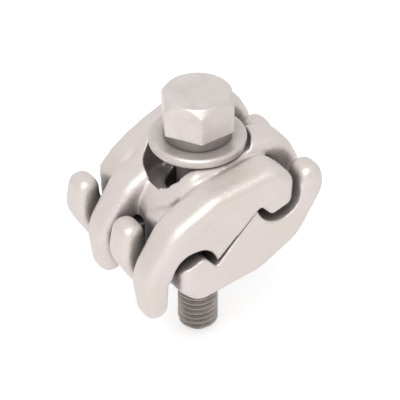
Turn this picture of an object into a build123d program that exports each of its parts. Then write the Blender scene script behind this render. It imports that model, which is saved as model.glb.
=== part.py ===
"""Single-bolt parallel groove clamp for two overhead-line conductors.

Two castings face each other across a sloping parting plane, one turned half a turn
about the conductor direction. They are alike but for how far their fingers reach.
Each casting is four stations long. In every station it has a finger on one side and
a short nose on the other, and the sides alternate, so the fingers of the two
castings interlace round both grooves.
A hexagon bolt with a spring washer and a flat washer draws the castings together
against a washer and nut underneath.

The row frame has its origin on the centre line of the run groove at mid-length,
with +X across the clamp, +Y along the conductors and +Z up the bolt. Everything is
modelled in the clamp frame, whose origin is where the bolt axis crosses the
parting plane, and is moved to the row frame on export.
"""

from build123d import *
import os
from math import cos, pi, radians, tan

# Grooves and parting plane, in millimetres
GROOVE_RADIUS = 6.0
GROOVE_X = 11.5
GROOVE_Z = 6.0
PARTING_GAP = 0.5

# Castings
STATION_LENGTH = 10.4
STATION_COUNT = 4
FINGER_TIP_WIDTH = 7.2
UPPER_RUN_REACH = 10.6
UPPER_TAP_REACH = 9.5
LOWER_RUN_REACH = 9.5
LOWER_TAP_REACH = 4.7
FINGER_THICKNESS = 6.0
FINGER_EDGE_RADIUS = 2.6
FINGER_CLEARANCE = 0.2
FINGER_BOW = 1.3
BOW_RADIUS = 11.0
TIP_RADIUS = 2.8
TIP_LEAN = 0.2
NOSE_REACH = 15.4
CORE_INSET = 1.8
CORE_START = 14.8
BOSS_START = 14.4
BOSS_END = 13.0
BOSS_EDGE_RADIUS = 1.6
SEAT_HEIGHT = 14.4
SPOT_FACE_CLEARANCE = 1.7
POCKET_WIDTH = 17.0
POCKET_REACH = 11.4
POCKET_CORNER = 7.0
POCKET_FLOOR = 4.2
POCKET_WALL = 3.2
BOLT_HOLE_CLEARANCE = 0.5

# Hardware
BOLT_OFFSET = 1.2
THREAD_DIAMETER = 10.0
BOLT_LENGTH = 60.0
BOLT_POINT = 1.2
HEAD_FLATS = 16.0
HEAD_HEIGHT = 9.0
HEAD_CROWN = 15.5
HEAD_CHAMFER_ANGLE = 56.0
HEAD_TURN = 4.0
NUT_CHAMFER_ANGLE = 30.0
SPRING_WASHER_OUTER = 16.0
SPRING_WASHER_THICKNESS = 2.6
SPRING_WASHER_SPLIT = 0.9
SPRING_WASHER_LEAN = 25.0
FLAT_WASHER_OUTER = 23.0
FLAT_WASHER_THICKNESS = 2.5
WASHER_BORE_CLEARANCE = 0.5
WASHER_EDGE = 0.5
NUT_WASHER_OUTER = 20.0
NUT_WASHER_THICKNESS = 2.0
NUT_FLATS = 16.0
NUT_HEIGHT = 8.0
NUT_RUNNING_CLEARANCE = 0.05

LENGTH = STATION_LENGTH * STATION_COUNT
HALF_GAP = PARTING_GAP / 2 / cos(radians(45))
FAR = 40.0
HEAD_SEAT = SEAT_HEIGHT + FLAT_WASHER_THICKNESS + SPRING_WASHER_THICKNESS
HOLE_RADIUS = THREAD_DIAMETER / 2 + BOLT_HOLE_CLEARANCE


def plate(points, length, middle):
    """A closed outline of (x, z, corner radius) drawn in XZ and extruded along Y about middle."""
    line = FilletPolyline(
        *[(x, z) for x, z, _ in points], radius=[r for _, _, r in points], close=True
    )
    sketch = Plane.XZ * make_face(line.edges())
    return Pos(0, middle + length / 2, 0) * extrude(sketch, length)


def rod(radius, x, z, length=2 * LENGTH):
    """A round bar along Y, used to cut the grooves."""
    return Pos(x, 0, z) * Rot(90, 0, 0) * Cylinder(radius, length)


def on_parting(x):
    """Height of the upper casting's parting face at x."""
    return x + HALF_GAP


def left_finger_blank(reach):
    """Outer form of a station with its finger on the left, closed well below the parting face."""
    inner = -GROOVE_X - GROOVE_RADIUS - FINGER_CLEARANCE
    outer = inner - FINGER_THICKNESS
    tip = -GROOVE_Z - reach
    return [
        (inner, -GROOVE_Z - 0.5, 1.2),
        (inner - TIP_LEAN, tip, TIP_RADIUS),
        (outer, tip, TIP_RADIUS),
        (outer - FINGER_BOW, -GROOVE_Z + 1.5, min(BOW_RADIUS, 1.4 * reach)),
        (-17.3, 7.0, 10.0),
        (-6.5, 12.7, 10.0),
        (10.8, SEAT_HEIGHT + 0.9, 5.0),
        (NOSE_REACH, SEAT_HEIGHT - 3.6, 3.0),
        (NOSE_REACH, -GROOVE_Z - 0.5, TIP_RADIUS),
    ]


def left_finger_parting():
    """What lies under a station with its finger on the left: the sloping face, then the right nose."""
    inner = -GROOVE_X - GROOVE_RADIUS - FINGER_CLEARANCE
    return [
        (inner, -FAR, 0),
        (inner, -GROOVE_Z, 0),
        (-GROOVE_Z - HALF_GAP, -GROOVE_Z, 0),
        (5.9, on_parting(5.9), 0.4),
        (9.0, 2.7, 0.6),
        (14.6, 4.6, 1.0),
        (16.6, 6.6, 0),
        (FAR, 6.6, 0),
        (FAR, -FAR, 0),
    ]


def right_finger_blank(reach):
    """Outer form of a station with its finger on the right."""
    inner = GROOVE_X + GROOVE_RADIUS + FINGER_CLEARANCE
    outer = inner + FINGER_THICKNESS
    tip = GROOVE_Z - reach
    return [
        (inner, GROOVE_Z - 1.5, 1.2),
        (inner + TIP_LEAN, tip, TIP_RADIUS),
        (outer, tip, TIP_RADIUS),
        (outer + FINGER_BOW, GROOVE_Z - 0.5, 9.0),
        (20.0, SEAT_HEIGHT + 0.4, 8.0),
        (9.0, SEAT_HEIGHT + 2.0, 8.0),
        (-3.0, 11.5, 8.0),
        (-11.6, 6.4, 3.0),
        (-NOSE_REACH, 1.6, TIP_RADIUS),
        (-NOSE_REACH, -14.0, TIP_RADIUS),
        (6.0, -10.0, TIP_RADIUS),
    ]


def right_finger_parting():
    """What lies under a station with its finger on the right: the left nose, then the sloping face."""
    inner = GROOVE_X + GROOVE_RADIUS + FINGER_CLEARANCE
    return [
        (inner, -FAR, 0),
        (inner, GROOVE_Z, 0),
        (GROOVE_Z - HALF_GAP, GROOVE_Z, 0),
        (-9.2, on_parting(-9.2), 0.6),
        (-14.6, -7.4, 1.0),
        (-16.6, -5.4, 0),
        (-FAR, -5.4, 0),
        (-FAR, -FAR, 0),
    ]


def station(blank_outline, parting_outline, side, reach, middle):
    """One station: a plate narrowed towards the finger's tip, its outer edges rounded, then cut to the parting face."""
    groove_z = side * GROOVE_Z
    top = SEAT_HEIGHT + 3
    bottom = -FAR / 2
    taper = (STATION_LENGTH - FINGER_TIP_WIDTH) / 2 / (top - groove_z + reach)
    low_half = STATION_LENGTH / 2 - taper * (top - bottom)
    wedge = Plane.YZ * make_face(
        Polyline(
            (middle - STATION_LENGTH / 2, top),
            (middle - low_half, bottom),
            (middle + low_half, bottom),
            (middle + STATION_LENGTH / 2, top),
            close=True,
        ).edges()
    )
    blank = plate(blank_outline, STATION_LENGTH, middle) & extrude(wedge, FAR, both=True)
    outline_edges = [e for e in blank.edges() if abs(e.tangent_at(0.5).Y) < 0.5]
    rounded = fillet(outline_edges, FINGER_EDGE_RADIUS)
    return rounded - plate(parting_outline, STATION_LENGTH, middle) - rod(GROOVE_RADIUS, side * GROOVE_X, groove_z)


def centre_of_casting():
    """The solid middle, its raised boss with the bolt's pocket, and the seat of the washer."""
    core = plate(
        [
            (-GROOVE_Z - HALF_GAP, -GROOVE_Z, 0),
            (GROOVE_Z - HALF_GAP, GROOVE_Z, 0),
            (CORE_START, GROOVE_Z, 0),
            (CORE_START, 10.6, 1.5),
            (11.0, 13.4, 3.0),
            (4.0, 13.0, 8.0),
            (-6.5, 9.6, 8.0),
            (-11.6, 5.6, 3.0),
            (-CORE_START, 2.4, 0.5),
            (-CORE_START, -GROOVE_Z, 0),
        ],
        LENGTH - 2 * CORE_INSET,
        0,
    )
    side_profile = plate(
        [
            (-GROOVE_Z - HALF_GAP, -GROOVE_Z, 0),
            (GROOVE_Z - HALF_GAP, GROOVE_Z, 0),
            (BOSS_END, GROOVE_Z, 0),
            (BOSS_END, SEAT_HEIGHT, 2.0),
            (-6.5, SEAT_HEIGHT, 4.0),
            (-12.4, 6.8, 4.0),
            (-BOSS_START, 3.6, 1.0),
            (-BOSS_START, -GROOVE_Z, 0),
        ],
        LENGTH,
        0,
    )
    half_width = POCKET_WIDTH / 2 + POCKET_WALL
    corner = POCKET_CORNER + POCKET_WALL
    footprint = FilletPolyline(
        (-POCKET_REACH - POCKET_WALL, -half_width),
        (BOSS_END, -half_width),
        (BOSS_END, half_width),
        (-POCKET_REACH - POCKET_WALL, half_width),
        radius=corner,
        close=True,
    )
    boss = side_profile & extrude(make_face(footprint.edges()), FAR, both=True)
    top_edges = [e for e in boss.edges() if e.center().Z > 3.0 and abs(e.tangent_at(0.5).Y) < 0.98]
    boss = fillet(top_edges, BOSS_EDGE_RADIUS)
    grooves = rod(GROOVE_RADIUS, -GROOVE_X, -GROOVE_Z) + rod(GROOVE_RADIUS, GROOVE_X, GROOVE_Z)
    return core - grooves, boss - grooves


def pocket():
    """The hollow beside the bolt, with a sloping floor, open at the top."""
    side_profile = plate(
        [
            (-POCKET_REACH, FAR, 0),
            (-POCKET_REACH, POCKET_FLOOR, 1.5),
            (-3.3, POCKET_FLOOR, 3.0),
            (-3.3 + SEAT_HEIGHT - POCKET_FLOOR, SEAT_HEIGHT, 0),
            (-3.3 + SEAT_HEIGHT - POCKET_FLOOR, FAR, 0),
        ],
        POCKET_WIDTH,
        0,
    )
    half_width = POCKET_WIDTH / 2
    footprint = FilletPolyline(
        (-POCKET_REACH, -half_width),
        (POCKET_REACH, -half_width),
        (POCKET_REACH, half_width),
        (-POCKET_REACH, half_width),
        radius=POCKET_CORNER,
        close=True,
    )
    return side_profile & extrude(make_face(footprint.edges()), FAR, both=True)


def casting(left_reach, right_reach):
    """A casting as the upper one stands; the lower one is turned half round about Y."""
    body = None
    first = -(STATION_COUNT - 1) / 2 * STATION_LENGTH
    for index in range(STATION_COUNT):
        middle = first + index * STATION_LENGTH
        if index % 2 == 0:
            piece = station(left_finger_blank(left_reach), left_finger_parting(), -1, left_reach, middle)
        else:
            piece = station(right_finger_blank(right_reach), right_finger_parting(), 1, right_reach, middle)
        body = piece if body is None else body + piece
    core, boss = centre_of_casting()
    body = body + core + boss
    body -= pocket()
    body -= Pos(0, 0, SEAT_HEIGHT + FAR / 2) * Cylinder(FLAT_WASHER_OUTER / 2 + SPOT_FACE_CLEARANCE, FAR)
    slot = SlotCenterToCenter(2 * BOLT_OFFSET, 2 * HOLE_RADIUS)
    body -= extrude(slot, FAR, both=True)
    return body


def hexagon(flats, height, crown, chamfer_angle):
    """A hexagonal prism on the XY plane, its top corners turned off to a round crown."""
    prism = extrude(RegularPolygon(flats / 2 / cos(radians(30)), 6), height)
    reach = flats
    drop = (reach - crown / 2) * tan(radians(chamfer_angle))
    cone = Plane.XZ * make_face(
        Polyline(
            (0, -1), (reach, -1), (reach, height - drop), (crown / 2, height), (0, height), close=True
        ).edges()
    )
    return prism & revolve(cone, Axis.Z)


def bolt():
    head = Rot(0, 0, HEAD_TURN) * hexagon(HEAD_FLATS, HEAD_HEIGHT, HEAD_CROWN, HEAD_CHAMFER_ANGLE)
    radius = THREAD_DIAMETER / 2
    shank = Plane.XZ * make_face(
        Polyline(
            (0, 1),
            (radius, 1),
            (radius, BOLT_POINT - BOLT_LENGTH),
            (radius - BOLT_POINT, -BOLT_LENGTH),
            (0, -BOLT_LENGTH),
            close=True,
        ).edges()
    )
    return Pos(0, 0, HEAD_SEAT) * (head + revolve(shank, Axis.Z))


def washer(outer, thickness, bottom):
    ring = Cylinder(outer / 2, thickness) - Cylinder(THREAD_DIAMETER / 2 + WASHER_BORE_CLEARANCE, thickness * 2)
    rim = [e for e in ring.edges() if abs(e.length - 2 * pi * outer / 2) < 0.01]
    return Pos(0, 0, bottom + thickness / 2) * chamfer(rim, WASHER_EDGE)


def spring_washer():
    height = SPRING_WASHER_THICKNESS
    ring = Cylinder(SPRING_WASHER_OUTER / 2, height) - Cylinder(
        THREAD_DIAMETER / 2 + WASHER_BORE_CLEARANCE, height * 2
    )
    cut = Pos(0, SPRING_WASHER_OUTER / 2, 0) * Rot(0, SPRING_WASHER_LEAN, 0) * Box(
        SPRING_WASHER_SPLIT, SPRING_WASHER_OUTER, height * 3
    )
    return Pos(0, 0, HEAD_SEAT - height / 2) * (ring - cut)


def nut():
    half = hexagon(NUT_FLATS, NUT_HEIGHT, HEAD_CROWN, NUT_CHAMFER_ANGLE)
    body = half & (Pos(0, 0, NUT_HEIGHT) * Rot(180, 0, 0) * half)
    body -= Cylinder(THREAD_DIAMETER / 2 + NUT_RUNNING_CLEARANCE, 4 * NUT_HEIGHT)
    return Pos(0, 0, -SEAT_HEIGHT - NUT_WASHER_THICKNESS - NUT_HEIGHT) * body


def build():
    castings = {
        "upper_casting": casting(UPPER_RUN_REACH, UPPER_TAP_REACH),
        "lower_casting": Rot(0, 180, 0) * casting(LOWER_TAP_REACH, LOWER_RUN_REACH),
    }
    fasteners = {
        "bolt": bolt(),
        "spring_washer": spring_washer(),
        "flat_washer": washer(FLAT_WASHER_OUTER, FLAT_WASHER_THICKNESS, SEAT_HEIGHT),
        "nut_washer": washer(NUT_WASHER_OUTER, NUT_WASHER_THICKNESS, -SEAT_HEIGHT - NUT_WASHER_THICKNESS),
        "nut": nut(),
    }
    os.makedirs("parts", exist_ok=True)
    to_row_frame = Pos(GROOVE_X, 0, GROOVE_Z)
    onto_bolt_axis = Pos(GROOVE_X + BOLT_OFFSET, 0, GROOVE_Z)
    pieces = {name: to_row_frame * shape for name, shape in castings.items()}
    pieces.update({name: onto_bolt_axis * shape for name, shape in fasteners.items()})
    for name, placed in pieces.items():
        solids = placed.solids()
        print(name, len(solids), "solid(s)", round(placed.volume, 1), "mm3 valid", placed.is_valid)
        box = placed.bounding_box()
        print("   ", [round(v, 2) for v in box.min], [round(v, 2) for v in box.max])
        export_step(solids[0] if len(solids) == 1 else placed, "parts/" + name + ".step")


if __name__ == "__main__":
    build()
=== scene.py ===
"""Parallel groove clamp: two cast aluminium jaws drawn together by a galvanised bolt.

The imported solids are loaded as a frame. Each visible piece is made from its solid, softened as
a sand casting or a dipped fastener is, and rides on that solid's body. The bolt's thread is new.
"""

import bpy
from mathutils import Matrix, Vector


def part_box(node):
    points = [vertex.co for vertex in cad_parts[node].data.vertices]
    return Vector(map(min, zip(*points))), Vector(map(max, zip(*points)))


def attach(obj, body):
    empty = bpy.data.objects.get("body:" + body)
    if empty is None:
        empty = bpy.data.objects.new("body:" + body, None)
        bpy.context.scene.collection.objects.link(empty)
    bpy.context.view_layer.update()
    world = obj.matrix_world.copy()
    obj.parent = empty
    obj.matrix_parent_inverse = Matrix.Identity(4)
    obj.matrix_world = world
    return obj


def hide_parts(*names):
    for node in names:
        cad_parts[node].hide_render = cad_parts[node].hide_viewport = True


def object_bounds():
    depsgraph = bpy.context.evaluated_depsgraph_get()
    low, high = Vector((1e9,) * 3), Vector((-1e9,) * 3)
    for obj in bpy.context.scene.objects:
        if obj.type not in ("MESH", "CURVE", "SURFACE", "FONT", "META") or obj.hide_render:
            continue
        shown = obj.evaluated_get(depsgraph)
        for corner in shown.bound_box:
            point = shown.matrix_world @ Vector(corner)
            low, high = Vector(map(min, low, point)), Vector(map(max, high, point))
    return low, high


bl_info = {
    "name": "Parallel groove clamp",
    "version": (1, 0, 0),
    "blender": (4, 5, 0),
    "location": "View3D > Sidebar > Clamp",
    "description": "Builds a parallel groove clamp's jaws, bolt, washers and nut, and a studio",
    "category": "Object",
}

from math import ceil, cos, pi, radians, sin

import bmesh
import bpy
from mathutils import Vector

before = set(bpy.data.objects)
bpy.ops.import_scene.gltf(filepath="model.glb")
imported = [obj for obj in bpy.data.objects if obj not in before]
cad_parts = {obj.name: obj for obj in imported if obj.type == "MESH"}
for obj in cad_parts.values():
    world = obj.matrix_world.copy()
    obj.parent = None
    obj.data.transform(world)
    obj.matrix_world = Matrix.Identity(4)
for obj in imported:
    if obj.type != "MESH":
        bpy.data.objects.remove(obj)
CAD_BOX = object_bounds()
MM = 0.001
WELD = 0.001 * MM


def centre_of(node):
    low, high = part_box(node)
    return (Vector(low) + Vector(high)) / 2


BOLT_AXIS = centre_of("flat_washer")
BOLT_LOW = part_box("bolt")[0][2]

# The casting that each skin covers, the body that it rides on and its slot
JAWS = (
    ("upper_casting", "upper_jaw", "cast_aluminium_upper"),
    ("lower_casting", "lower_jaw", "cast_aluminium_lower"),
)
# The washer, its body, and how much painted shade darkens its zinc against the bolt's;
# the spring and flat washers are darkened for the shadow under the bolt's head
WASHERS = (
    ("flat_washer", "upper_jaw", 0.9),
    ("spring_washer", "upper_jaw", 0.36),
    ("nut_washer", "lower_jaw", 0.95),
)
# The nut's zinc, darkened a little as painted shade
NUT_PAINTED_SHADE = 0.95

# Thread: one turn of its outline, as (share of the depth, share of the pitch)
THREAD_TURN = ((0.0, 0.0), (0.0, 1 / 4), (1.0, 9 / 16), (1.0, 11 / 16))
THREAD_RADIUS = 5.0 * MM
CREST_CLEARANCE = 0.03 * MM
THREAD_STEPS = 72
THREAD_WELD = 0.002 * MM
TURNS_BELOW = 2
TURNS_SPARE = 3
SHANK_OVERLAP = 0.5 * MM
SMOOTHING_FACTOR = 0.5
SPECK_VERTICES = 8

# Skins and painted shade: how metallic, the scales of blotches and grain, the pits' share of
# the relief, the relief's height, and how deep the painted shade gets in recesses
CAST_SKIN_AND_SHADE = {
    "metallic": 0.55,
    "blotches": 110.0,
    "grain": 800.0,
    "pits": 0.5,
    "relief": 0.2 * MM,
    "recess_shade": 0.8,
}
ZINC_SKIN_AND_SHADE = {
    "metallic": 0.6,
    "blotches": 260.0,
    "grain": 2400.0,
    "pits": 0.2,
    "relief": 0.05 * MM,
    "recess_shade": 0.6,
}
THREAD_SKIN_AND_SHADE = {**ZINC_SKIN_AND_SHADE, "blotches": 400.0, "recess_shade": 0.5}
CAST_TINT = (0.95, 0.97, 0.9)
ZINC_TINT = 0.9
THREAD_TINT = 0.75
THREAD_ROUGHNESS = 0.45
BLOTCH_EDGES = (0.38, 0.68)
BLOTCH_DETAIL = 5.0
GRAIN_DETAIL = 4.0
GRAIN_ROUGHNESS = 0.12
PIT_SCALE = 900.0
PIT_DETAIL = 2.0
PIT_EDGES = (0.62, 0.75)
RELIEF_STRENGTH = 0.6
# Painted shade: within this reach, ambient occlusion darkens the colour in recesses and gaps
PAINTED_SHADE_REACH = 9.0 * MM
PAINTED_SHADE_EDGES = (0.15, 0.7)
PAINTED_SHADE_SAMPLES = 16

# A colour Mix node's sockets, which share their names with its number and vector ones
MIX_COLOURS = (6, 7)
MIX_COLOUR_OUT = 2

# Studio
WHITE = (1, 1, 1, 1)
SENSOR_WIDTH = 36.0
NEAREST_SEEN = 0.01
FLOOR_SIZE = 6.0
FLOOR_COLOUR = (0.8, 0.8, 0.8, 1)
FLOOR_ROUGHNESS = 0.9
FLOOR_GLOW = 0.55
SOFTBOX_SIZE = 0.35
SOFTBOX_FORWARD = 0.35
SOFTBOX_HEIGHT = 0.5
SOFTBOX_LEFT = 0.05
FILL_SIZE = 0.3
FILL_DISTANCE = 0.5
FILL_DROP = 0.1
FILL_LEFT = 0.06


class ClampSizes(bpy.types.PropertyGroup):
    """Sizes of what the solids leave out: the thread and the softness of the edges."""

    thread_pitch: bpy.props.FloatProperty(
        name="Thread pitch",
        description="Rise of the bolt's thread in one turn",
        default=1.5 * MM,
        unit="LENGTH",
    )
    thread_depth: bpy.props.FloatProperty(
        name="Thread depth",
        description="From the thread's crest to its root",
        default=0.85 * MM,
        unit="LENGTH",
    )
    thread_length: bpy.props.FloatProperty(
        name="Thread length",
        description="From the bolt's point up",
        default=34.0 * MM,
        unit="LENGTH",
    )
    thread_point: bpy.props.FloatProperty(
        name="Point chamfer",
        description="Width of the chamfer at the bolt's point",
        default=2.0 * MM,
        unit="LENGTH",
    )
    cast_voxel: bpy.props.FloatProperty(
        name="Casting voxel",
        description="Mesh size of the jaws",
        default=0.4 * MM,
        unit="LENGTH",
    )
    cast_passes: bpy.props.IntProperty(
        name="Casting softness",
        description="Smoothing passes that round the jaws' edges",
        default=12,
    )
    steel_voxel: bpy.props.FloatProperty(
        name="Fastener voxel",
        description="Mesh size of the bolt, washers and nut",
        default=0.2 * MM,
        unit="LENGTH",
    )
    steel_passes: bpy.props.IntProperty(
        name="Fastener softness",
        description="Smoothing passes that round the fasteners' edges",
        default=3,
    )


class ClampFinishes(bpy.types.PropertyGroup):
    """Colours and gloss of the metals."""

    cast_colour: bpy.props.FloatVectorProperty(
        name="Cast aluminium",
        description="Colour of the jaws",
        subtype="COLOR",
        size=3,
        default=(0.70, 0.63, 0.62),
    )
    cast_roughness: bpy.props.FloatProperty(
        name="Casting roughness",
        description="Roughness of the cast skin",
        subtype="FACTOR",
        min=0.0,
        max=1.0,
        default=0.42,
    )
    zinc_colour: bpy.props.FloatVectorProperty(
        name="Zinc",
        description="Colour of the bolt head, and of the washers and nut before their shade",
        subtype="COLOR",
        size=3,
        default=(0.69, 0.63, 0.605),
    )
    zinc_roughness: bpy.props.FloatProperty(
        name="Zinc roughness",
        description="Roughness of the zinc",
        subtype="FACTOR",
        min=0.0,
        max=1.0,
        default=0.38,
    )
    thread_colour: bpy.props.FloatVectorProperty(
        name="Thread",
        description="Colour of the oiled thread",
        subtype="COLOR",
        size=3,
        default=(0.50, 0.455, 0.42),
    )


class ClampStudio(bpy.types.PropertyGroup):
    """Camera and lights."""

    azimuth: bpy.props.FloatProperty(
        name="Azimuth",
        description="Camera's turn about the vertical",
        subtype="ANGLE",
        default=radians(-32),
    )
    elevation: bpy.props.FloatProperty(
        name="Elevation",
        description="Camera's height above the horizon",
        subtype="ANGLE",
        default=radians(37),
    )
    distance: bpy.props.FloatProperty(
        name="Distance",
        description="From the camera to the clamp",
        default=0.45,
        unit="LENGTH",
    )
    lens: bpy.props.FloatProperty(
        name="Lens",
        description="Focal length in millimetres",
        default=171.0,
    )
    aim_right: bpy.props.FloatProperty(
        name="Aim right",
        description="Camera's aim, right of the clamp's centre",
        default=0.55 * MM,
        unit="LENGTH",
    )
    aim_down: bpy.props.FloatProperty(
        name="Aim down",
        description="Camera's aim, below the clamp's centre",
        default=2.1 * MM,
        unit="LENGTH",
    )
    sky: bpy.props.FloatProperty(
        name="Sky",
        description="Even light from all round",
        default=0.52,
    )
    softbox: bpy.props.FloatProperty(
        name="Softbox",
        description="Power of the lamp overhead",
        default=1.65,
        unit="POWER",
    )
    fill: bpy.props.FloatProperty(
        name="Fill",
        description="Power of the lamp beside the camera",
        default=0.28,
        unit="POWER",
    )


def add_node(tree, kind, inputs=None, **settings):
    """A new shader node with its settings, its inputs given as values or as sockets to link."""
    node = tree.nodes.new(kind)
    for key, value in settings.items():
        setattr(node, key, value)
    for key, value in (inputs or {}).items():
        if isinstance(value, bpy.types.NodeSocket):
            tree.links.new(value, node.inputs[key])
        else:
            node.inputs[key].default_value = value
    return node


def noise(tree, place, scale, detail):
    inputs = {"Vector": place, "Scale": scale, "Detail": detail}
    return add_node(tree, "ShaderNodeTexNoise", inputs).outputs["Fac"]


def spread(tree, value, edges, low, high):
    """The value between two edges, spread from low to high."""
    inputs = {
        "Value": value,
        "From Min": edges[0],
        "From Max": edges[1],
        "To Min": low,
        "To Max": high,
    }
    return add_node(tree, "ShaderNodeMapRange", inputs).outputs["Result"]


def calculated(tree, operation, first, second, **settings):
    inputs = {0: first, 1: second}
    return add_node(tree, "ShaderNodeMath", inputs, operation=operation, **settings).outputs["Value"]


def metal_skin_and_shade_group():
    """Node group: a metal's blotches, grain and pits, and painted shade that darkens its colour in
    recesses by ambient occlusion.
    """
    name = "Metal skin and painted shade"
    if name in bpy.data.node_groups:
        return bpy.data.node_groups[name]
    tree = bpy.data.node_groups.new(name, "ShaderNodeTree")
    for direction, kind, sockets in (
        ("INPUT", "NodeSocketColor", ("Colour", "Tint")),
        ("INPUT", "NodeSocketFloat", ("Roughness", "Blotch scale", "Grain scale", "Pits", "Painted recess shade")),
        ("OUTPUT", "NodeSocketColor", ("Colour",)),
        ("OUTPUT", "NodeSocketFloat", ("Roughness", "Height")),
    ):
        for socket in sockets:
            tree.interface.new_socket(socket, in_out=direction, socket_type=kind)
    given = tree.nodes.new("NodeGroupInput").outputs
    place = tree.nodes.new("ShaderNodeTexCoord").outputs["Object"]

    blotches = noise(tree, place, given["Blotch scale"], BLOTCH_DETAIL)
    first, second = MIX_COLOURS
    mixed = {
        "Factor": spread(tree, blotches, BLOTCH_EDGES, 0.0, 1.0),
        first: given["Colour"],
        second: given["Tint"],
    }
    blotched = add_node(tree, "ShaderNodeMix", mixed, data_type="RGBA").outputs[MIX_COLOUR_OUT]
    # Painted shade: ambient occlusion darkens the blotched colour in recesses and gaps
    occlusion_for_painted_shade = add_node(
        tree, "ShaderNodeAmbientOcclusion", {"Distance": PAINTED_SHADE_REACH}, samples=PAINTED_SHADE_SAMPLES
    )
    darkest_painted_shade = calculated(tree, "SUBTRACT", 1.0, given["Painted recess shade"])
    # The factor of painted shade that scales the colour: 1 in the open, lower in recesses
    light = spread(tree, occlusion_for_painted_shade.outputs["AO"], PAINTED_SHADE_EDGES, darkest_painted_shade, 1.0)
    scaled = {0: blotched, "Scale": light}
    colour = add_node(tree, "ShaderNodeVectorMath", scaled, operation="SCALE").outputs["Vector"]

    grain = noise(tree, place, given["Grain scale"], GRAIN_DETAIL)
    uneven = spread(tree, grain, (0.0, 1.0), -GRAIN_ROUGHNESS, GRAIN_ROUGHNESS)
    roughness = calculated(tree, "ADD", given["Roughness"], uneven, use_clamp=True)

    pit_mask = spread(tree, noise(tree, place, PIT_SCALE, PIT_DETAIL), PIT_EDGES, 0.0, -1.0)
    height = calculated(tree, "ADD", grain, calculated(tree, "MULTIPLY", pit_mask, given["Pits"]))

    results = {"Colour": colour, "Roughness": roughness, "Height": height}
    add_node(tree, "NodeGroupOutput", results)
    return tree


def metal(name, colour, tint, roughness, skin):
    """A metal of the colour, with patches of the tint, the skin group's relief, and painted shade in
    its recesses.
    """
    material = bpy.data.materials.new(name)
    material.use_nodes = True
    tree = material.node_tree
    shader = tree.nodes["Principled BSDF"].inputs
    shader["Metallic"].default_value = skin["metallic"]
    group = tree.nodes.new("ShaderNodeGroup")
    group.node_tree = metal_skin_and_shade_group()
    for socket, value in (
        ("Colour", (*colour, 1)),
        ("Tint", (*tint, 1)),
        ("Roughness", roughness),
        ("Blotch scale", skin["blotches"]),
        ("Grain scale", skin["grain"]),
        ("Pits", skin["pits"]),
        ("Painted recess shade", skin["recess_shade"]),
    ):
        group.inputs[socket].default_value = value
    relief = {
        "Height": group.outputs["Height"],
        "Distance": skin["relief"],
        "Strength": RELIEF_STRENGTH,
    }
    bump = add_node(tree, "ShaderNodeBump", relief)
    tree.links.new(group.outputs["Colour"], shader["Base Color"])
    tree.links.new(group.outputs["Roughness"], shader["Roughness"])
    tree.links.new(bump.outputs["Normal"], shader["Normal"])
    material.diffuse_color = (*colour, 1)
    return material


def shaded(colour, factor):
    """The colour made lighter or darker."""
    return tuple(min(1.0, channel * factor) for channel in colour)


def cast_aluminium(name):
    """Pale sand-cast aluminium, a little yellower in patches."""
    finish = bpy.context.scene.clamp_finishes
    colour = tuple(finish.cast_colour)
    tint = tuple(channel * share for channel, share in zip(colour, CAST_TINT))
    return metal(name, colour, tint, finish.cast_roughness, CAST_SKIN_AND_SHADE)


def zinc(name, painted_shade_factor=1.0):
    """Hot-dip zinc, darkened for each washer and the nut by a factor of painted shade."""
    finish = bpy.context.scene.clamp_finishes
    colour = shaded(finish.zinc_colour, painted_shade_factor)
    return metal(name, colour, shaded(colour, ZINC_TINT), finish.zinc_roughness, ZINC_SKIN_AND_SHADE)


def dark_thread(name):
    """Zinc that oil has darkened."""
    colour = tuple(bpy.context.scene.clamp_finishes.thread_colour)
    return metal(name, colour, shaded(colour, THREAD_TINT), THREAD_ROUGHNESS, THREAD_SKIN_AND_SHADE)


def finish_piece(mesh, name, material, body, node, smooth=True):
    """An object for the mesh, painted, and tied to its body and slot; its solid is hidden."""
    for polygon in mesh.polygons:
        polygon.use_smooth = smooth
    mesh.materials.clear()
    mesh.materials.append(material)
    piece = bpy.data.objects.new(name, mesh)
    bpy.context.scene.collection.objects.link(piece)
    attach(piece, body)
    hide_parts(node)


def merged_solid(node):
    """A bmesh of a solid, with its loose triangles joined."""
    shape = bmesh.new()
    shape.from_mesh(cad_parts[node].data)
    bmesh.ops.remove_doubles(shape, verts=shape.verts, dist=WELD)
    return shape


def drop_specks(mesh):
    """Removes the loose specks, far smaller than a voxel, that the even skin can leave behind."""
    shape = bmesh.new()
    shape.from_mesh(mesh)
    left = set(shape.verts)
    specks = []
    while left:
        island = [left.pop()]
        for vert in island:
            for edge in vert.link_edges:
                neighbour = edge.other_vert(vert)
                if neighbour in left:
                    left.remove(neighbour)
                    island.append(neighbour)
        if len(island) <= SPECK_VERTICES:
            specks += island
    bmesh.ops.delete(shape, geom=specks, context="VERTS")
    shape.to_mesh(mesh)
    shape.free()


def softened(shape, name, voxel, passes):
    """A mesh of the shape with every edge rounded: one even skin, then smoothing passes."""
    raw = bpy.data.meshes.new(name)
    shape.to_mesh(raw)
    shape.free()
    mould = bpy.data.objects.new(name + " mould", raw)
    bpy.context.scene.collection.objects.link(mould)
    remesh = mould.modifiers.new("Even skin", "REMESH")
    remesh.mode = "VOXEL"
    remesh.voxel_size = voxel
    smooth = mould.modifiers.new("Rounded edges", "SMOOTH")
    smooth.factor = SMOOTHING_FACTOR
    smooth.iterations = passes
    graph = bpy.context.evaluated_depsgraph_get()
    mesh = bpy.data.meshes.new_from_object(mould.evaluated_get(graph))
    mesh.name = name
    bpy.data.objects.remove(mould)
    bpy.data.meshes.remove(raw)
    drop_specks(mesh)
    if not mesh.polygons:
        raise RuntimeError(name + " came out empty")
    return mesh


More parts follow.
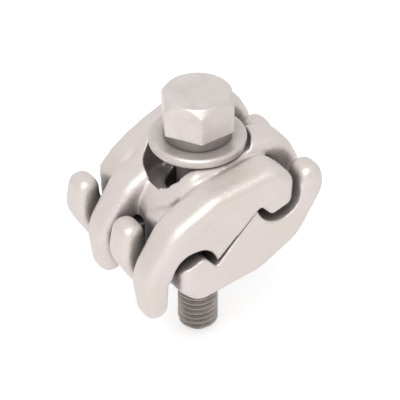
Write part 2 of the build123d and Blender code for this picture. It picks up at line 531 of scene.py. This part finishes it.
def softened_fastener(node):
    """The skin of a washer or nut."""
    sizes = bpy.context.scene.clamp_sizes
    return softened(merged_solid(node), node + " skin", sizes.steel_voxel, sizes.steel_passes)


def cut_off(shape, height, direction):
    """Cuts away what lies below a level (direction 1) or above it (direction -1)."""
    bmesh.ops.bisect_plane(
        shape,
        geom=shape.verts[:] + shape.edges[:] + shape.faces[:],
        plane_co=(0, 0, height),
        plane_no=(0, 0, direction),
        clear_inner=True,
    )


def on_level(edge, height):
    return edge.is_boundary and abs(edge.verts[0].co.z - height) < WELD


def thread_shape(sizes):
    """A closed bmesh of the bolt's threaded end, its crests just inside the solid bolt."""
    pitch = sizes.thread_pitch
    root = THREAD_RADIUS - CREST_CLEARANCE - sizes.thread_depth
    low = BOLT_LOW
    high = BOLT_LOW + sizes.thread_length
    shape = bmesh.new()
    profile = []
    for turn in range(ceil(sizes.thread_length / pitch) + TURNS_SPARE):
        for depth, rise in THREAD_TURN:
            radius = root + depth * sizes.thread_depth
            height = low + (turn - TURNS_BELOW + rise) * pitch
            profile.append(shape.verts.new((BOLT_AXIS.x + radius, BOLT_AXIS.y, height)))
    edges = [shape.edges.new(pair) for pair in zip(profile, profile[1:])]
    bmesh.ops.spin(
        shape,
        geom=profile + edges,
        cent=BOLT_AXIS,
        axis=(0, 0, 1),
        dvec=(0, 0, pitch / THREAD_STEPS),
        angle=2 * pi,
        steps=THREAD_STEPS,
        use_duplicate=False,
    )
    bmesh.ops.remove_doubles(shape, verts=shape.verts, dist=THREAD_WELD)
    for level, direction in ((low, 1), (high, -1)):
        cut_off(shape, level, direction)
        bmesh.ops.edgenet_fill(shape, edges=[edge for edge in shape.edges if on_level(edge, level)])
    for vert in shape.verts:
        outwards = Vector((vert.co.x - BOLT_AXIS.x, vert.co.y - BOLT_AXIS.y, 0))
        limit = THREAD_RADIUS - sizes.thread_point + (vert.co.z - low)
        if outwards.length > limit:
            vert.co -= outwards.normalized() * (outwards.length - limit)
    bmesh.ops.recalc_face_normals(shape, faces=shape.faces)
    if shape.calc_volume(signed=True) < 0:
        bmesh.ops.reverse_faces(shape, faces=shape.faces)
    return shape


class CLAMP_OT_jaws(bpy.types.Operator):
    """Builds the two cast jaws"""

    bl_idname = "clamp.jaws"
    bl_label = "Jaws"

    def execute(self, context):
        sizes = context.scene.clamp_sizes
        for node, body, slot in JAWS:
            mesh = softened(merged_solid(node), node + " skin", sizes.cast_voxel, sizes.cast_passes)
            finish_piece(mesh, node + "_skin", cast_aluminium(slot), body, node)
        return {"FINISHED"}


class CLAMP_OT_bolt(bpy.types.Operator):
    """Builds the bolt: its head and shank, and its threaded end"""

    bl_idname = "clamp.bolt"
    bl_label = "Bolt"

    def execute(self, context):
        sizes = context.scene.clamp_sizes
        top = merged_solid("bolt")
        cut_off(top, BOLT_LOW + sizes.thread_length - SHANK_OVERLAP, 1)
        bmesh.ops.edgenet_fill(top, edges=[edge for edge in top.edges if edge.is_boundary])
        head = softened(top, "Bolt head and shank", sizes.steel_voxel, sizes.steel_passes)
        finish_piece(head, "bolt_head", zinc("Zinc on the bolt"), "bolt", "bolt")
        thread = bpy.data.meshes.new("Bolt thread")
        shape = thread_shape(sizes)
        shape.to_mesh(thread)
        shape.free()
        oiled = dark_thread("Oiled thread")
        finish_piece(thread, "bolt_thread", oiled, "bolt", "bolt", smooth=False)
        return {"FINISHED"}


class CLAMP_OT_washers(bpy.types.Operator):
    """Builds the flat washer, the spring washer and the nut's washer"""

    bl_idname = "clamp.washers"
    bl_label = "Washers"

    def execute(self, context):
        for node, body, painted_shade_factor in WASHERS:
            slot = "galvanised_" + node
            mesh = softened_fastener(node)
            # Each washer's zinc carries its painted shade
            finish_piece(mesh, node + "_skin", zinc(slot, painted_shade_factor), body, node)
        return {"FINISHED"}


class CLAMP_OT_nut(bpy.types.Operator):
    """Builds the nut"""

    bl_idname = "clamp.nut"
    bl_label = "Nut"

    def execute(self, context):
        slot = "galvanised_nut"
        mesh = softened_fastener("nut")
        finish_piece(mesh, "nut_skin", zinc(slot, NUT_PAINTED_SHADE), "lower_jaw", "nut")
        return {"FINISHED"}


def seen_plainly(tree):
    """1 on a camera's, a gloss's or a clear ray, else 0."""
    path = tree.nodes.new("ShaderNodeLightPath").outputs
    seen = path["Is Camera Ray"]
    for other in ("Is Glossy Ray", "Is Transmission Ray"):
        seen = calculated(tree, "MAXIMUM", seen, path[other])
    return seen


def build_sky(strength):
    """Even light of the strength, which shows as plain white."""
    world = bpy.data.worlds.new("Studio sky")
    bpy.context.scene.world = world
    world.use_nodes = True
    tree = world.node_tree
    tree.nodes.clear()
    lit = add_node(tree, "ShaderNodeBackground", {"Color": WHITE, "Strength": strength})
    white = add_node(tree, "ShaderNodeBackground", {"Color": WHITE, "Strength": 1.0})
    mixed = {0: seen_plainly(tree), 1: lit.outputs[0], 2: white.outputs[0]}
    sky = add_node(tree, "ShaderNodeMixShader", mixed)
    add_node(tree, "ShaderNodeOutputWorld", {"Surface": sky.outputs[0]})


def build_floor(height):
    """A wide pale floor that shows white, less so in the clamp's shade, and clear from below."""
    mesh = bpy.data.meshes.new("Floor")
    shape = bmesh.new()
    bmesh.ops.create_grid(shape, x_segments=1, y_segments=1, size=FLOOR_SIZE)
    bmesh.ops.translate(shape, verts=shape.verts, vec=(0, 0, height))
    shape.to_mesh(mesh)
    shape.free()
    material = bpy.data.materials.new("Pale floor")
    material.use_nodes = True
    tree = material.node_tree
    paint = tree.nodes["Principled BSDF"]
    paint.inputs["Base Color"].default_value = FLOOR_COLOUR
    paint.inputs["Roughness"].default_value = FLOOR_ROUGHNESS
    paint.inputs["Specular IOR Level"].default_value = 0.0
    level = calculated(tree, "MULTIPLY", seen_plainly(tree), FLOOR_GLOW)
    glow = add_node(tree, "ShaderNodeEmission", {"Color": WHITE, "Strength": level})
    top = add_node(tree, "ShaderNodeAddShader", {0: paint.outputs[0], 1: glow.outputs[0]})
    below = tree.nodes.new("ShaderNodeNewGeometry").outputs["Backfacing"]
    clear = tree.nodes.new("ShaderNodeBsdfTransparent")
    mixed = {0: below, 1: top.outputs[0], 2: clear.outputs[0]}
    surface = add_node(tree, "ShaderNodeMixShader", mixed)
    tree.links.new(surface.outputs[0], tree.nodes["Material Output"].inputs["Surface"])
    mesh.materials.append(material)
    floor = bpy.data.objects.new("floor", mesh)
    bpy.context.scene.collection.objects.link(floor)
    return floor


def build_lamp(name, place, aim, size, power):
    """A square lamp at the place, turned to the aim."""
    light = bpy.data.lights.new(name, "AREA")
    light.shape = "SQUARE"
    light.size = size
    light.energy = power
    lamp = bpy.data.objects.new(name, light)
    lamp.location = place
    lamp.rotation_euler = (aim - place).to_track_quat("-Z", "Y").to_euler()
    bpy.context.scene.collection.objects.link(lamp)
    return lamp


def build_camera(place, towards, focal_length):
    """A camera at the place, looking back along the direction towards it."""
    lens = bpy.data.cameras.new("Camera")
    lens.lens = focal_length
    lens.sensor_width = SENSOR_WIDTH
    lens.clip_start = NEAREST_SEEN
    camera = bpy.data.objects.new("Camera", lens)
    camera.location = place
    camera.rotation_euler = towards.to_track_quat("Z", "Y").to_euler()
    bpy.context.scene.collection.objects.link(camera)
    bpy.context.scene.camera = camera
    return camera


class CLAMP_OT_studio(bpy.types.Operator):
    """Builds the floor, the sky, the lamps and the camera"""

    bl_idname = "clamp.studio"
    bl_label = "Studio"

    def execute(self, context):
        studio = context.scene.clamp_studio
        jaws_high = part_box("upper_casting")[1][2]
        jaws_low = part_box("lower_casting")[0][2]
        middle = Vector((BOLT_AXIS.x, BOLT_AXIS.y, (jaws_high + jaws_low) / 2))
        turn, rise = studio.azimuth, studio.elevation
        towards = Vector((sin(turn) * cos(rise), -cos(turn) * cos(rise), sin(rise)))
        right = Vector((cos(turn), sin(turn), 0))
        up = towards.cross(right)
        aim = middle + right * studio.aim_right - up * studio.aim_down
        camera = build_camera(aim + towards * studio.distance, towards, studio.lens)

        floor = build_floor(CAD_BOX[0][2])
        build_sky(studio.sky)
        forward = Vector((towards.x, towards.y, 0)) * SOFTBOX_FORWARD
        overhead = middle + forward + Vector((0, 0, SOFTBOX_HEIGHT)) - right * SOFTBOX_LEFT
        beside = middle + (towards - up * FILL_DROP) * FILL_DISTANCE - right * FILL_LEFT
        lamps = [
            build_lamp("softbox", overhead, middle, SOFTBOX_SIZE, studio.softbox),
            build_lamp("fill", beside, middle, FILL_SIZE, studio.fill),
        ]
        context.scene.view_settings.view_transform = "Standard"
        return {"FINISHED"}


class CLAMP_PT_sidebar(bpy.types.Panel):
    """Lists what builds the clamp"""

    bl_idname = "CLAMP_PT_sidebar"
    bl_label = "Parallel groove clamp"
    bl_space_type = "VIEW_3D"
    bl_region_type = "UI"
    bl_category = "Clamp"

    def draw(self, context):
        scene = context.scene
        for group in (scene.clamp_sizes, scene.clamp_finishes, scene.clamp_studio):
            box = self.layout.box()
            for key in group.__annotations__:
                box.prop(group, key)
        for operator in OPERATORS:
            self.layout.operator(operator.bl_idname)


OPERATORS = (CLAMP_OT_jaws, CLAMP_OT_bolt, CLAMP_OT_washers, CLAMP_OT_nut, CLAMP_OT_studio)
CLASSES = (ClampSizes, ClampFinishes, ClampStudio, *OPERATORS, CLAMP_PT_sidebar)


def register():
    for cls in CLASSES:
        bpy.utils.register_class(cls)
    bpy.types.Scene.clamp_sizes = bpy.props.PointerProperty(type=ClampSizes)
    bpy.types.Scene.clamp_finishes = bpy.props.PointerProperty(type=ClampFinishes)
    bpy.types.Scene.clamp_studio = bpy.props.PointerProperty(type=ClampStudio)


def unregister():
    del bpy.types.Scene.clamp_studio
    del bpy.types.Scene.clamp_finishes
    del bpy.types.Scene.clamp_sizes
    for cls in reversed(CLASSES):
        bpy.utils.unregister_class(cls)


def main():
    register()
    bpy.ops.clamp.jaws()
    bpy.ops.clamp.bolt()
    bpy.ops.clamp.washers()
    bpy.ops.clamp.nut()
    bpy.ops.clamp.studio()


if __name__ == "__main__":
    main()
